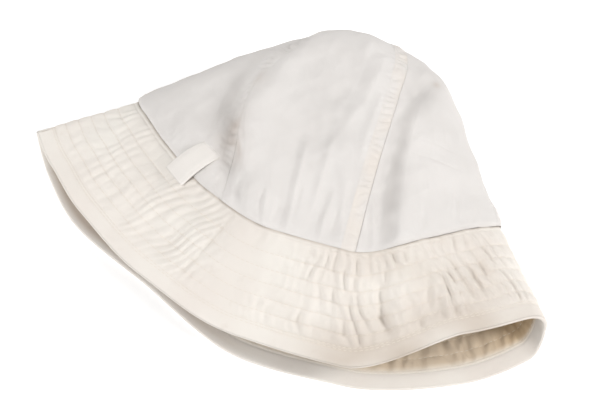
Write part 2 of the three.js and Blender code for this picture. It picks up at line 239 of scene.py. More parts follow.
def brim_plain(across, share):
    """The brim without its relief, and the way it faces"""
    angle = seam_angle(share)

    def spoke(at):
        edge = edge_line(at)
        return edge + (seam_line(at) - edge) * across[..., None]

    ahead = seam_line(angle) - edge_line(angle)
    return spoke(angle), facing(ahead, spoke(angle + NUDGE) - spoke(angle - NUDGE))


def sewn_share(from_edge):
    """Nothing on the smooth turned edge, all from the third row on"""
    return np.clip((from_edge - SMOOTH_EDGE) / SETS_IN_OVER, 0, 1)


def brim_drape(across, share, points):
    """The long folds, which bend both cloths of the brim alike"""
    free = loose(points[..., 2])
    free_sewn = free * sewn_share(across * BRIM_REACH)
    drape = free_sewn * WAVE_HEIGHT * np.cos(ROUND * WAVES_ROUND * share) * np.sin(ROUND * WAVE_GROUPS * share)
    drape = drape + free_sewn * folds(BRIM_FOLDS, share, across)
    drape = drape + (CREASED_LYING + (1 - CREASED_LYING) * free) * folds(BRIM_CREASES, share, across)
    return drape + SLACK_HEIGHT * crumple(points, 24, 4) * free


def row_pull(share):
    """How hard the rows pull the cloth in, 1 for the usual"""
    pull = np.ones(share.shape)
    for at, wide, more in ROW_PULLS:
        pull = pull + more * np.exp(-(shorter_way(share - at) / wide) ** 4)
    return pull


def brim_quilting(across, share, points):
    """The puckers between the stitch rows and the grooves that the rows pull in"""
    from_edge = across * BRIM_REACH
    sewn = sewn_share(from_edge)
    drift = crumple(points, 37, 11)
    unlike = np.clip(0.76 + 0.36 * crumple(points, 19, 12), 0.35, 1.35)
    small = crumple(points, 6, 27)
    shift = np.random.default_rng(21).uniform(0, 1, len(STITCH_ROWS))
    swells = [
        np.sin(math.pi * np.clip((from_edge - low) / (high - low), 0, 1))
        for low, high in zip(STITCH_ROWS[1:-1], STITCH_ROWS[2:])
    ]
    relief = np.zeros(points.shape[:-1])
    for at, wide, slant, count, crossing, stopped in PUCKER_PATCHES:
        much = unlike * np.exp(-(shorter_way(share - at) / wide) ** 4)
        place = share - slant * (across - 0.5)
        relief = relief + FINE_CRUMPLE * sewn * much * stopped * small
        relief = relief + sewn * much * crossing * pinched(count * place + 0.45 * drift)
        for row, swell in enumerate(swells):
            ripple = pinched((count + MORE_RIPPLES) * place + shift[row] + 0.5 * drift)
            relief = relief + swell * much * stopped * ripple
    pull = row_pull(share)
    for swell in swells:
        relief = relief + PUFF_BETWEEN_ROWS * pull * swell
    for row in STITCH_ROWS:
        relief = relief - ROW_GROOVE * pull * np.exp(-((from_edge - row) / ROW_HALF_WIDTH) ** 2)
    held = 1 - SEAM_HOLD * np.exp(-np.maximum(0, BRIM_REACH - from_edge) / SEAM_HOLD_OVER)
    return held * DEEPEST_PUCKER * np.tanh(relief / DEEPEST_PUCKER)


def brim_skin(across, share):
    """The brim's outer face and the way it faces"""
    point, normal = brim_plain(across, share)
    relief = brim_drape(across, share, point) + brim_quilting(across, share, point)
    outer = point + normal * relief[..., None]
    outer[..., 2] = np.maximum(0, outer[..., 2])
    return outer, normal


def piece(name, points, faces, uv=None, values=None):
    """A mesh of the cap's own millimetres, laid on the table and ready for its cloth"""
    mesh = bpy.data.meshes.new(name)
    placed = (points.reshape(-1, 3) + MIDDLE_ON_TABLE) * MILLIMETRE
    placed[:, 2] = np.maximum(0, placed[:, 2])
    mesh.from_pydata(placed.tolist(), [], faces.tolist())
    mesh.polygons.foreach_set("use_smooth", np.ones(len(mesh.polygons), bool))
    corners = np.zeros(len(mesh.loops), int)
    mesh.loops.foreach_get("vertex_index", corners)
    if uv is not None:
        layer = mesh.uv_layers.new(name="cut")
        layer.data.foreach_set("uv", uv.reshape(-1, 2)[corners].astype(np.float32).ravel())
    for key, value in (values or {}).items():
        attribute = mesh.attributes.new(key, "FLOAT", "POINT")
        attribute.data.foreach_set("value", value.astype(np.float32).ravel())
    made = bpy.data.objects.new(name, mesh)
    bpy.context.scene.collection.objects.link(made)
    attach(made, "root")
    return made


def strip_faces(rows, columns):
    """Quads over a grid of points"""
    row, column = np.meshgrid(np.arange(rows - 1), np.arange(columns - 1), indexing="ij")
    corner = row * columns + column
    return np.stack([corner, corner + columns, corner + columns + 1, corner + 1], axis=-1).reshape(-1, 4)


class Wire:
    """A value on its way through a cloth's finish, so that sums on it read as sums"""

    def __init__(self, finish, socket):
        self.finish = finish
        self.socket = socket

    def maths(self, operation, *terms):
        return self.finish.node("ShaderNodeMath", {"operation": operation}, dict(enumerate(terms)))

    def __add__(self, other):
        return self.maths("ADD", self, other)

    def __radd__(self, other):
        return self.maths("ADD", other, self)

    def __sub__(self, other):
        return self.maths("SUBTRACT", self, other)

    def __rsub__(self, other):
        return self.maths("SUBTRACT", other, self)

    def __mul__(self, other):
        return self.maths("MULTIPLY", self, other)

    def __rmul__(self, other):
        return self.maths("MULTIPLY", other, self)

    def sine(self):
        return self.maths("SINE", self)


class Finish:
    """A cloth's finish in the making: node() adds any node and gives its output"""

    def __init__(self, name, roughness, sheen):
        self.material = bpy.data.materials.new(name)
        self.material.use_nodes = True
        self.tree = self.material.node_tree
        self.shader = self.tree.nodes["Principled BSDF"]
        self.shader.inputs["Roughness"].default_value = roughness
        self.shader.inputs["Specular IOR Level"].default_value = 0.2
        self.shader.inputs["Sheen Weight"].default_value = sheen
        self.shader.inputs["Sheen Roughness"].default_value = 0.5

    def plug(self, socket, value):
        if isinstance(value, Wire):
            self.tree.links.new(value.socket, socket)
        else:
            socket.default_value = value

    def node(self, kind, settings=None, values=None, output=0):
        made = self.tree.nodes.new(kind)
        for key, value in (settings or {}).items():
            setattr(made, key, value)
        for key, value in (values or {}).items():
            self.plug(made.inputs[key], value)
        return Wire(self, made.outputs[output])

    def dyed(self, mask, plain, other):
        """One colour that gives way to another where the mask is 1"""
        return self.node("ShaderNodeMix", {"data_type": "RGBA"}, {0: mask, 6: plain, 7: other}, 2)

    def cloudy(self, scale, low, high):
        """Soft patches, 0 up to the low level and 1 from the high one"""
        where = self.node("ShaderNodeTexCoord", output=3)
        cloud = self.node("ShaderNodeTexNoise", None, {"Vector": where, "Scale": scale, "Detail": 3})
        return self.node("ShaderNodeMapRange", None, {0: cloud, 1: low, 2: high})

    def measure(self, name):
        """A measure that the mesh carries at each of its points"""
        return self.node("ShaderNodeAttribute", {"attribute_name": name}, output=2)

    def close(self, colour, height, depth):
        """The finished cloth, with its weave as a bump"""
        self.plug(self.shader.inputs["Base Color"], colour)
        bump = self.node("ShaderNodeBump", None, {"Height": height, "Distance": depth, "Strength": 1.0})
        self.plug(self.shader.inputs["Normal"], bump)
        return self.material


DRILL_CREAM = (0.87, 0.81, 0.75, 1)
DRILL_PALE = (0.92, 0.88, 0.82, 1)
# The drill's worn tone, which also serves as its painted shade
DRILL_WORN_AND_SHADED = (0.60, 0.51, 0.425, 1)
TWILL_PITCH = 0.55
TWILL_DEPTH = 0.00009


def twill(finish):
    """The drill's slanted ribs, laid along the cut"""
    where = finish.node("ShaderNodeUVMap", {"uv_map": "cut"})
    along = finish.node("ShaderNodeSeparateXYZ", None, {0: where}, 0)
    over = finish.node("ShaderNodeSeparateXYZ", None, {0: where}, 1)
    rib = ((along + over) * (ROUND / TWILL_PITCH)).sine()
    thread = (over * (ROUND / TWILL_PITCH * 1.6)).sine()
    return rib * 0.6 + thread * 0.4


drill = Finish("brim_drill", 0.92, 0.12)
paler = drill.dyed(drill.cloudy(22, 0.35, 0.7), DRILL_CREAM, DRILL_PALE)
# Darker in random patches, and with painted shade by the curled edge, on the hem's inside, in the seam and
# along the stitch rows
wear_and_painted_shade = drill.cloudy(140, 0.62, 0.85) * 0.2 + drill.measure("painted_brim_shade") * 0.75 + drill.measure("row_groove_shade") * 0.07
drill_relief = twill(drill) + drill.cloudy(260, 0, 1) * 1.5
drill_cotton = drill.close(drill.dyed(wear_and_painted_shade, paler, DRILL_WORN_AND_SHADED), drill_relief, TWILL_DEPTH)

BRIM_COLUMNS = 760
BRIM_MESH = 1.25
NEAR_A_ROW = (-0.8, -0.35, 0, 0.35, 0.8)
RIM_STEPS = 7
HEM_TURNED = 9.0
CLOTH_END = 0.1
EDGE_ROUND = BRIM_WALL / 2
# The outer cloth runs on under the crown: how far past the seam, and how deep it lies there
SEWN_IN = np.array([[0.25, 1.0], [1.5, 1.2]])
# The inside follows the puckers less than the outside does
INSIDE_SHARE = 0.8
INSIDE_LEAST = -0.5
# The lowest that the inside comes where the brim lies on the table, and anywhere
LYING_INSIDE = BRIM_WALL * 0.6
OFF_THE_TABLE = 0.2
# Where shade is painted into the cloth, outside by the edge where it curls under and on the hem's inside under
# the upper layer: share and spread
SHADE_OUTSIDE = (0.120, 0.085)
SHADE_INSIDE = (0.60, 0.13)


def row_places(first, last, plain):
    """Places from the brim's edge for the mesh's rows, close together where a stitch row runs"""
    places = {first, last}
    for stitch in STITCH_ROWS:
        places.update(stitch + near for near in NEAR_A_ROW if first < stitch + near < last)
    ordered = sorted(places)
    for low, high in zip(ordered[:-1], ordered[1:]):
        steps = max(1, round((high - low) / plain))
        places.update(low + (high - low) * step / steps for step in range(1, steps))
    return np.array(sorted(places))


def inside_face(from_edge, share):
    """The inner face of the brim, a wall's thickness behind the outer one"""
    across, share = np.broadcast_arrays((from_edge / BRIM_REACH)[:, None], share[None, :])
    plain, normal = brim_plain(across, share)
    relief = np.maximum(INSIDE_LEAST, INSIDE_SHARE * brim_quilting(across, share, plain))
    face = plain + normal * (brim_drape(across, share, plain) - BRIM_WALL - relief)[..., None]
    lying = (plain[..., 2] < LOOSE_HEIGHT) & (normal[..., 2] < 0)
    face[..., 2] = np.where(lying, np.maximum(face[..., 2], LYING_INSIDE + relief), face[..., 2])
    face[..., 2] = np.maximum(OFF_THE_TABLE, face[..., 2])
    return face, normal


brim_shares = np.linspace(0, 1, BRIM_COLUMNS + 1)
outer_places = row_places(EDGE_ROUND, BRIM_REACH - CLOTH_END, BRIM_MESH)
outer_places = np.concatenate([outer_places, BRIM_REACH + SEWN_IN[:, 0]])
across_grid, share_grid = np.broadcast_arrays((outer_places / BRIM_REACH)[:, None], brim_shares[None, :])
outer, outer_facing = brim_skin(across_grid, share_grid)
outer[-2:] -= outer_facing[-2:] * SEWN_IN[:, 1][:, None, None]
hem_places = row_places(EDGE_ROUND, HEM_TURNED, BRIM_MESH)
hem_inside, hem_facing = inside_face(hem_places, brim_shares)
# The turned edge, half a round from the outer face to the hem's inside, whose end is tucked in
beyond = outer[0] - outer[2]
beyond /= np.linalg.norm(beyond, axis=-1, keepdims=True)
middle = (outer[0] + hem_inside[0]) / 2
half = (outer[0] - hem_inside[0]) / 2
rim_turns = math.pi * np.arange(1, RIM_STEPS) / RIM_STEPS
rim = [middle + half * math.cos(turn) + beyond * EDGE_ROUND * math.sin(turn) for turn in rim_turns]
tuck = hem_inside[-1:] + hem_facing[-1:] * 0.5
section = np.concatenate([outer[::-1], np.array(rim), hem_inside, tuck])
section[..., 2] = np.maximum(0, section[..., 2])
# How far round and how far over the cloth each point is: over is less than 0 past the turned edge
over = np.concatenate([
    outer_places[::-1], -EDGE_ROUND * rim_turns, -EDGE_ROUND - hem_places, [-HEM_TURNED - 1],
])
run_over = np.broadcast_to(over[:, None], section.shape[:2])
run_round = np.broadcast_to(brim_shares * SEAM_TOTAL, section.shape[:2])
# Painted shade near the edge where it curls under, on the hem's inside under the upper layer, and in the groove
# of the seam
outside_at, outside_spread = SHADE_OUTSIDE
inside_at, inside_spread = SHADE_INSIDE
near_edge = 0.38 + 0.8 * np.exp(-(run_over / 18) ** 2)
unevenly = np.clip(0.75 + 0.3 * crumple(section, 30, 17), 0, 1)
painted_brim_shade = np.exp(-(shorter_way(brim_shares - outside_at) / outside_spread) ** 4) * near_edge * unevenly
on_the_inside = np.clip((-run_over - 3) / 3, 0, 1)
painted_brim_shade = np.maximum(painted_brim_shade, 1.15 * on_the_inside * np.exp(-((brim_shares - inside_at) / inside_spread) ** 4))
painted_brim_shade = np.maximum(painted_brim_shade, 0.7 * np.exp(-((BRIM_REACH - run_over) / 0.8) ** 2))
# Painted shade along the stitch rows, where the cloth dips into them
row_groove_shade = sum(np.exp(-((run_over - row) / 0.6) ** 2) for row in STITCH_ROWS) * row_pull(brim_shares)
brim = piece(
    "brim_band", section, strip_faces(*section.shape[:2])[:, ::-1],
    np.stack([run_round, run_over], axis=-1), {"painted_brim_shade": painted_brim_shade, "row_groove_shade": np.clip(row_groove_shade, 0, 1)},
)
brim.data.materials.append(drill_cotton)
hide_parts("brim")

# The brim's facing
# The same drill on the inside of the brim, caught under the turned hem and sewn through with the
# outer cloth in the same rows. Shade is painted into it, deepening from the hem into the hollow and most of all
# beside the right-hand fold.
# The colour of the painted shade inside the brim
DRILL_SHADED_INSIDE = (0.64, 0.49, 0.32, 1)
FACING_MESH = 1.6
FACING_DEPTH = 0.00008
SHADE_DEEPENS_OVER = 4.0
SHADE_ALL_ROUND = 0.72
# Deeper painted shade beside the fold: share, spread and how much more
SHADE_BY_FOLD = (0.99, 0.05, 0.6)
facing_places = row_places(HEM_TURNED, BRIM_REACH - CLOTH_END, FACING_MESH)
facing_points, _ = inside_face(facing_places, brim_shares)
# Painted shade that deepens from the hem's rows into the hollow of the brim
into_the_hollow = np.clip((facing_places - HEM_TURNED) / SHADE_DEEPENS_OVER, 0, 1)[:, None]
fold_at, fold_spread, fold_more = SHADE_BY_FOLD
beside_fold = fold_more * np.exp(-(shorter_way(brim_shares - fold_at) / fold_spread) ** 2)
painted_inside_shade = into_the_hollow * (SHADE_ALL_ROUND + beside_fold)
facing_round = np.broadcast_to(brim_shares * SEAM_TOTAL, painted_inside_shade.shape)
facing_over = np.broadcast_to(facing_places[:, None], painted_inside_shade.shape)
facing_drill = Finish("brim_facing_drill", 0.93, 0.08)
tone = facing_drill.dyed(facing_drill.measure("painted_inside_shade"), DRILL_PALE, DRILL_SHADED_INSIDE)
facing_cloth = facing_drill.close(tone, twill(facing_drill), FACING_DEPTH)
brim_facing = piece(
    "brim_facing", facing_points, strip_faces(*facing_points.shape[:2]),
    np.stack([facing_round, facing_over], axis=-1), {"painted_inside_shade": painted_inside_shade},
)
brim_facing.data.materials.append(facing_cloth)

# The brim's stitching
# Lockstitch in cream cotton thread, about eight stitches to the inch, run through both cloths in
# each row, and twice at the hem.
STITCH_LENGTH = 2.4
STITCH_STEP = 3.1
THREAD_WIDTH = 0.28
THREAD_SIDES = 5
THREAD_LIFT = 0.05
THREAD_CREAM = (0.83, 0.76, 0.68, 1)
# The rings along one stitch: where, how much of the thread's width, how far out of the cloth
STITCH_RINGS = ((-0.5, 0.25, -0.16), (-0.3, 0.9, 0.02), (0.3, 0.9, 0.02), (0.5, 0.25, -0.16))
WALK_STEPS = 2400
LOOK_AHEAD = 0.8


def stitches(centres, ways, outs):
    """Short threads that dip into the cloth at both ends"""
    sides = np.cross(ways, outs)
    turns = np.linspace(0, ROUND, THREAD_SIDES, endpoint=False)
    rings = []
    for place, swell, lift in STITCH_RINGS:
        ring_middle = centres + ways * (place * STITCH_LENGTH) + outs * lift
        reach = THREAD_WIDTH / 2 * swell
        for turn in turns:
            rings.append(ring_middle + sides * (math.cos(turn) * reach) + outs * (math.sin(turn) * reach))
    points = np.stack(rings, axis=1)
    quads = []
    for ring in range(len(STITCH_RINGS) - 1):
        for side in range(THREAD_SIDES):
            here, there = ring * THREAD_SIDES + side, ring * THREAD_SIDES + (side + 1) % THREAD_SIDES
            quads.append([here, there, there + THREAD_SIDES, here + THREAD_SIDES])
    quads = np.array(quads)
    base = np.arange(len(points))[:, None, None] * points.shape[1]
    return points, (quads[None] + base).reshape(-1, 4)


def row_of_stitches(face_at, from_edge):
    """Centres, directions and facings of one row, an even stitch apart"""
    fine = np.linspace(0, 1, WALK_STEPS + 1)
    line, normal = face_at(np.array([from_edge]), fine)
    line, normal = line[0], normal[0]
    run = np.concatenate([[0], np.cumsum(np.linalg.norm(np.diff(line, axis=0), axis=-1))])
    places = np.arange(0, run[-1] - STITCH_LENGTH, STITCH_STEP)
    at = np.stack([np.interp(places, run, line[:, axis]) for axis in range(3)], axis=-1)
    ahead = np.stack([np.interp(places + LOOK_AHEAD, run, line[:, axis]) for axis in range(3)], axis=-1)
    out = np.stack([np.interp(places, run, normal[:, axis]) for axis in range(3)], axis=-1)
    way = ahead - at
    way /= np.linalg.norm(way, axis=-1, keepdims=True)
    out -= way * (out * way).sum(-1, keepdims=True)
    out /= np.linalg.norm(out, axis=-1, keepdims=True)
    return at, way, out


def outside_face(from_edge, share):
    """The outer face for the stitches that show outside"""
    across, share = np.broadcast_arrays((from_edge / BRIM_REACH)[:, None], share[None, :])
    return brim_skin(across, share)


def inward_face(from_edge, share):
    """The facing for the stitches that show inside, with the way that it faces"""
    face, normal = inside_face(from_edge, share)
    return face, -normal


thread = Finish("cotton_thread", 0.85, 0.1)
thread.shader.inputs["Base Color"].default_value = THREAD_CREAM


def sewn(name, face_at, stitch_rows):
    """One mesh of all the stitches on one face of the brim"""
    parts = [row_of_stitches(face_at, row) for row in stitch_rows]
    at, way, out = (np.concatenate(kind) for kind in zip(*parts))
    points, faces = stitches(at + out * THREAD_LIFT, way, out)
    made = piece(name, points, faces)
    made.data.materials.append(thread.material)
    return made


outer_stitches = sewn("brim_stitches", outside_face, STITCH_ROWS[:-1])
inner_stitches = sewn("facing_stitches", inward_face, STITCH_ROWS[:5])

# The crown
# Six gores of thinner, cooler white cotton, run together in flat-felled seams and eased into the
# brim in small gathers. It is unlined and soft, so it has slumped where it lies on the table.
CROWN_WALL = 1.4
SEWN_GAP = 0.03
FELLED_WIDTH = 8.0
FELLED_RISE = (0.2, 0.1, 0.4, 0.4, 0.4, 0.4)
LEFT_FULLNESS = 1.05
RIGHT_FULLNESS = 0.8
TURNED_UP = 0.45
SEAM_FORM_END = 0.6
CROWN_PATTERN = np.array([
    # along, left, right, left ahead, right ahead, upper ahead, lower ahead, left, right, upper, lower rise
    (0, -1.026, 0.974, 0.456, 0.422, 0, 0.064, 0.23, 0.378, 0.757, 0),
    (0.25, -0.855, 0.81, 0.61, 0.584, 0.287, 0.328, 0.297, 0.405, 0.92, 0),
    (0.5, -0.645, 0.645, 0.75, 0.753, 0.571, 0.591, 0.365, 0.446, 1, 0),
    (0.7, -0.44, 0.5, 0.85, 0.88, 0.8, 0.78, 0.405, 0.473, 0.973, 0),
    (0.85, -0.26, 0.35, 0.94, 0.975, 0.968, 0.91, 0.39, 0.46, 0.79, 0.03),
    (0.94, -0.13, 0.22, 0.982, 0.992, 0.992, 0.982, 0.38, 0.42, 0.63, 0.13),
    (1, 0.03, 0.03, 1, 1, 1, 1, 0.36, 0.36, 0.36, 0.36),
])
# Where each gore begins: at the brim, in the middle and at the tip
GORE_SEAMS = (
    (0.170, 0.154, 0.12),
    (0.315, 0.35, 0.32),
    (0.49, 0.50, 0.48),
    (0.66, 0.66, 0.64),
    (0.83, 0.82, 0.80),
    (1.0, 0.98, 0.96),
)
SEAM_MIDDLE = 0.45
SEAM_FRONT = HALF_SPAN * BRIM_PATTERN[:, 1].min()
CROWN_MERIDIAN = 1.15 * CROWN_REACH
# Along is counted from the seam to the crown's tip
CROWN_FOLDS = (
    # share, along, spread, length, lean, depth
    (0.345, 0.22, 0.018, 0.20, 0.22, 0.055),
    (0.385, 0.34, 0.018, 0.18, 0.03, 0.035),
    (0.146, 0.20, 0.010, 0.26, -0.03, 0.028),
    (0.110, 0.61, 0.018, 0.13, -0.25, 0.05),
    (0.098, 0.33, 0.02, 0.25, -0.05, -0.03),
    (0.33, 0.5, 0.02, 0.3, 0.02, -0.03),
    (0.224, 0.60, 0.012, 0.15, -0.05, 0.012),
    (0.206, 0.43, 0.012, 0.14, -0.12, 0.012),
    (0.238, 0.12, 0.007, 0.08, 0.01, 0.016),
    (0.213, 0.13, 0.006, 0.10, -0.02, 0.012),
    (0.187, 0.14, 0.007, 0.09, 0.02, 0.016),
    (0.30, 0.06, 0.01, 0.07, 0.05, 0.035),
)
# The sharper creases on them
CROWN_CREASES = (
    (0.376, 0.25, 0.006, 0.12, 0.05, 0.016),
    (0.2380, 0.12, 0.0028, 0.07, 0.02, 0.008),
    (0.2165, 0.15, 0.0030, 0.09, -0.02, 0.007),
    (0.1960, 0.08, 0.0030, 0.05, -0.03, 0.008),
    (0.1860, 0.15, 0.0030, 0.08, -0.02, 0.008),
    (0.2550, 0.07, 0.0028, 0.05, 0.04, 0.007),
    (0.2720, 0.06, 0.0028, 0.04, 0.05, 0.006),
    (0.0900, 0.30, 0.0040, 0.03, 0.9, 0.006),
    (0.0800, 0.36, 0.0040, 0.03, 1.1, 0.005),
    (0.0650, 0.10, 0.0030, 0.06, -0.03, 0.007),
    (0.1050, 0.07, 0.0030, 0.05, -0.02, 0.006),
)
# Long crests where the cloth has been pressed to an edge: stations on the way up, the places there,
# how high the crest stands, how deep the cloth falls on its left, how wide on the right and left
CROWN_CRESTS = (
    ((-0.3, 0.196, 0.354, 0.538, 0.688, 0.80), (0.124, 0.128, 0.126, 0.1135, 0.078, 0.06), 1.8, 4.6, 18, 8),
    ((-0.1, 0.18, 0.27, 0.434, 0.60), (0.298, 0.309, 0.327, 0.347, 0.352), 1.0, 3.0, 24, 8),
    ((0.25, 0.33, 0.45, 0.54, 0.74), (0.236, 0.219, 0.204, 0.1915, 0.185), 1.2, 1.8, 12, 6),
    ((0.06, 0.133, 0.300, 0.38), (0.214, 0.216, 0.2174, 0.214), 0.8, 1.2, 10, 4),
    ((0.44, 0.51, 0.65, 0.84), (0.224, 0.2207, 0.217, 0.2145), 0.8, 1.2, 12, 5),
    ((0.28, 0.36, 0.47, 0.60), (0.178, 0.180, 0.176, 0.172), 0.9, 1.4, 8, 4),
    ((-0.04, 0.10, 0.24, 0.34), (0.236, 0.239, 0.243, 0.25), 0.9, 1.7, 8, 4),
    ((0.00, 0.09, 0.20, 0.28), (0.184, 0.186, 0.190, 0.20), 0.9, 1.7, 8, 4),
    ((0.00, 0.07, 0.13, 0.19), (0.205, 0.2045, 0.202, 0.20), 0.6, 1.1, 6, 3),
    ((-0.02, 0.05, 0.12, 0.2), (0.152, 0.1525, 0.155, 0.16), 0.8, 1.5, 6, 3),
    ((-0.04, 0.03, 0.07, 0.12), (0.262, 0.263, 0.266, 0.27), 0.5, 0.8, 5, 2.5),
)
CREST_SCALE = 1.6
CREST_FADE = 0.2
# How much narrower the crown is at its tip, for widths measured on it
CROWN_NARROWS = 0.75
# The cloth puffs out beyond the seam: how far, within what distance, and over what it settles
SEAM_PUFF = 2.6
PUFF_WITHIN = 2.0
PUFF_SETTLES_OVER = 22.0
# The gathers at the seam, long ones and small ones: how many round, how high, how far they reach
GATHERS = (30, 0.4, 10.0)
SMALL_GATHERS = (74, 0.55, 6.0)
# The seam to the brim holds the cloth flat over its first millimetres
FOOT_HOLD = 0.9
FOOT_HOLD_OVER = 2.5
RING_STEPS = 240


def crests(table, along, share):
    """Ridges with a gentle right side and a steep left one, fading in and out at their ends"""
    height = np.zeros(share.shape)
    for stations, places, stand, fall, gentle, steep in table:
        stations = np.array(stations)
        line = through(stations, np.array(places), along)
        leftward = shorter_way(share - line) * SEAM_TOTAL * (1 - CROWN_NARROWS * along)
        right = stand * np.exp(np.minimum(leftward, 0) / gentle)
        left = (stand + fall) * np.exp(-(leftward / steep) ** 2)
        left = left - fall * np.exp(-np.maximum(leftward, 0) / (3 * steep))
        taper = CREST_FADE * (stations[-1] - stations[0])
        ends = np.clip((along - stations[0]) / taper, 0, 1) * np.clip((stations[-1] - along) / taper, 0, 1)
        height += np.where(leftward < 0, right, left) * ends ** 0.8
    return CREST_SCALE * height


def crown_column(column, along):
    """One measure of the crown on the way to its tip, from its table"""
    return through(CROWN_PATTERN[:, 0], CROWN_PATTERN[:, column], along)


def plain_ring(along, angle):
    """A ring round the crown, without the form that the brim's seam gives it"""
    rightward = (1 + np.cos(angle)) / 2
    upward = np.sin(angle)

    def mixed(left, right):
        left = crown_column(left, along)
        return left + (crown_column(right, along) - left) * rightward

    fold_ahead = mixed(3, 4)
    fold_rise = mixed(7, 8)
    far_ahead = np.where(upward >= 0, crown_column(5, along), crown_column(6, along))
    fullness = LEFT_FULLNESS + (RIGHT_FULLNESS - LEFT_FULLNESS) * rightward
    lift = np.maximum(0, 1 - np.abs(upward) / TURNED_UP) ** 2
    upper = fold_rise + (crown_column(9, along) - fold_rise) * np.maximum(upward, 0) ** fullness
    low = crown_column(10, along)
    lower = low + (fold_rise - low) * lift
    return np.stack([
        HALF_SPAN * mixed(1, 2),
        SEAM_FRONT + CROWN_REACH * (fold_ahead + (far_ahead - fold_ahead) * upward * upward),
        LIE_HEIGHT * np.where(upward >= 0, upper, lower),
    ], axis=-1)


def crown_line(along, angle):
    """A ring round the crown, which takes on the form of the brim's seam at its foot"""
    along, angle = np.broadcast_arrays(along, angle)
    own = seam_line(angle) - plain_ring(np.zeros_like(along), angle)
    fade = np.maximum(0, 1 - along / SEAM_FORM_END) ** 2
    return plain_ring(along, angle) + own * fade[..., None]


def ring_walk(along):
    """One ring round the crown, walked by its own length"""
    return measured_round(lambda angle: crown_line(np.full_like(angle, along), angle), RING_STEPS)


def crown_lay(along, share):
    """Points of the crown before its relief; along has one value a row"""
    angle = np.empty(share.shape)
    for row, height in enumerate(along[:, 0]):
        angle[row] = ring_walk(height)[1](share[row])
    return crown_line(along, angle)


def crown_relief(along, share, points):
    """The gathers, folds, crests and softness of the crown's cloth, out from its plain lie"""
    from_seam = along * CROWN_REACH
    puff = SEAM_PUFF * (1 - np.exp(-from_seam / PUFF_WITHIN)) * np.exp(-from_seam / PUFF_SETTLES_OVER)
    unlike = np.clip(0.55 + 0.5 * crumple(points, 30, 8), 0, 1.4)
    count, height, reach = GATHERS
    wave = np.cos(ROUND * count * share + 1.2 * np.sin(ROUND * 4 * share))
    gather = height * unlike * np.exp(-from_seam / reach) * wave
    count, height, reach = SMALL_GATHERS
    small = height * unlike * np.exp(-from_seam / reach) * pinched(count * share + 0.5 * crumple(points, 22, 9))
    long_folds = folds(CROWN_FOLDS, share, along) + folds(CROWN_CREASES, share, along)
    soft = 0.5 * crumple(points, 42, 3) + 0.32 * crumple(points, 17, 5) - 0.35 * np.abs(crumple(points, 52, 6))
    soft = soft - 0.16 * np.abs(crumple(points, 13, 14)) + 0.05 * crumple(points, 7, 15)
    pressed = crests(CROWN_CRESTS, along, share)
    held = 1 - FOOT_HOLD * np.exp(-from_seam / FOOT_HOLD_OVER)
    return loose(points[..., 2]) * (puff + held * (gather + small + long_folds + soft + pressed))


def crown_skin(along, share):
    """The crown's outer face and the way it faces"""
    point = crown_lay(along, share)
    ahead = crown_lay(np.minimum(1, along + NUDGE), share)
    back = crown_lay(np.maximum(0, along - NUDGE), share)
    roundward = crown_lay(along, share + NUDGE) - crown_lay(along, share - NUDGE)
    normal = facing(ahead - back, roundward)
    outer = point + normal * crown_relief(along, share, point)[..., None]
    outer[..., 2] = np.maximum(0, outer[..., 2])
    return outer, normal


def gore_seam(number, along):
    """The share of the way round at which a gore begins, on the way to the tip"""
    return through(np.array([0, SEAM_MIDDLE, 1]), np.array(GORE_SEAMS[number % 6]), along) + number // 6


def wall_faces(rows, columns):
    """Quads of a closed wall of cloth whose rows run over its outer face and back over its inner one"""
    count = 2 * columns
    foot = np.arange(rows - 1) * count
    side = np.stack([foot, foot + count, foot + 2 * count - 1, foot + count - 1], axis=-1)
    place = np.arange(columns - 1)
    end = np.stack([place, place + 1, count - 2 - place, count - 1 - place], axis=-1)
    return np.concatenate([strip_faces(rows, count)[:, ::-1], side, end, end[:, ::-1] + (rows - 1) * count])


COTTON_COOL = (0.735, 0.705, 0.68, 1)
COTTON_PALE = (0.79, 0.762, 0.738, 1)
COTTON_DOUBLE = (0.785, 0.725, 0.665, 1)
COTTON_BROWN_SHADE = (0.60, 0.515, 0.45, 1)
COTTON_GREY_SHADE = (0.55, 0.525, 0.505, 1)
# Painted shade in the folds, brownish mostly beside the left felled seam and grey in the others: share, along,
# how wide, how long, how much
BROWN_SHADE_MARKS = (
    (0.349, 0.434, 0.010, 0.035, 0.35),
    (0.082, 0.675, 0.008, 0.020, 0.50),
    (0.347, 0.245, 0.010, 0.030, 0.55),
    (0.336, 0.190, 0.008, 0.020, 0.35),
    (0.345, 0.200, 0.020, 0.110, 0.30),
    (0.322, 0.170, 0.014, 0.050, 0.35),
)
SHADED_FOLDS = (
    (0.116, 0.620, 0.022, 0.100, 0.40),
    (0.141, 0.340, 0.012, 0.160, 0.40),
    (0.137, 0.100, 0.014, 0.140, 0.50),
    (0.230, 0.420, 0.040, 0.200, 0.25),
    (0.358, 0.330, 0.018, 0.140, 0.20),
    (0.318, 0.120, 0.014, 0.080, 0.35),
    (0.342, 0.220, 0.018, 0.090, 0.30),
)
WEAVE_PITCH = 0.42
WEAVE_DEPTH = 0.00007


def plain_weave(finish):
    """Warp and weft, laid along the cut"""
    where = finish.node("ShaderNodeUVMap", {"uv_map": "cut"})
    warp = (finish.node("ShaderNodeSeparateXYZ", None, {0: where}, 0) * (ROUND / WEAVE_PITCH)).sine()
    weft = (finish.node("ShaderNodeSeparateXYZ", None, {0: where}, 1) * (ROUND / WEAVE_PITCH)).sine()
    return warp * weft


cotton = Finish("crown_cotton", 0.93, 0.1)
cotton_tone = cotton.dyed(cotton.cloudy(26, 0.35, 0.7), COTTON_COOL, COTTON_PALE)
cotton_tone = cotton.dyed(cotton.measure("felled") * 0.8, cotton_tone, COTTON_DOUBLE)
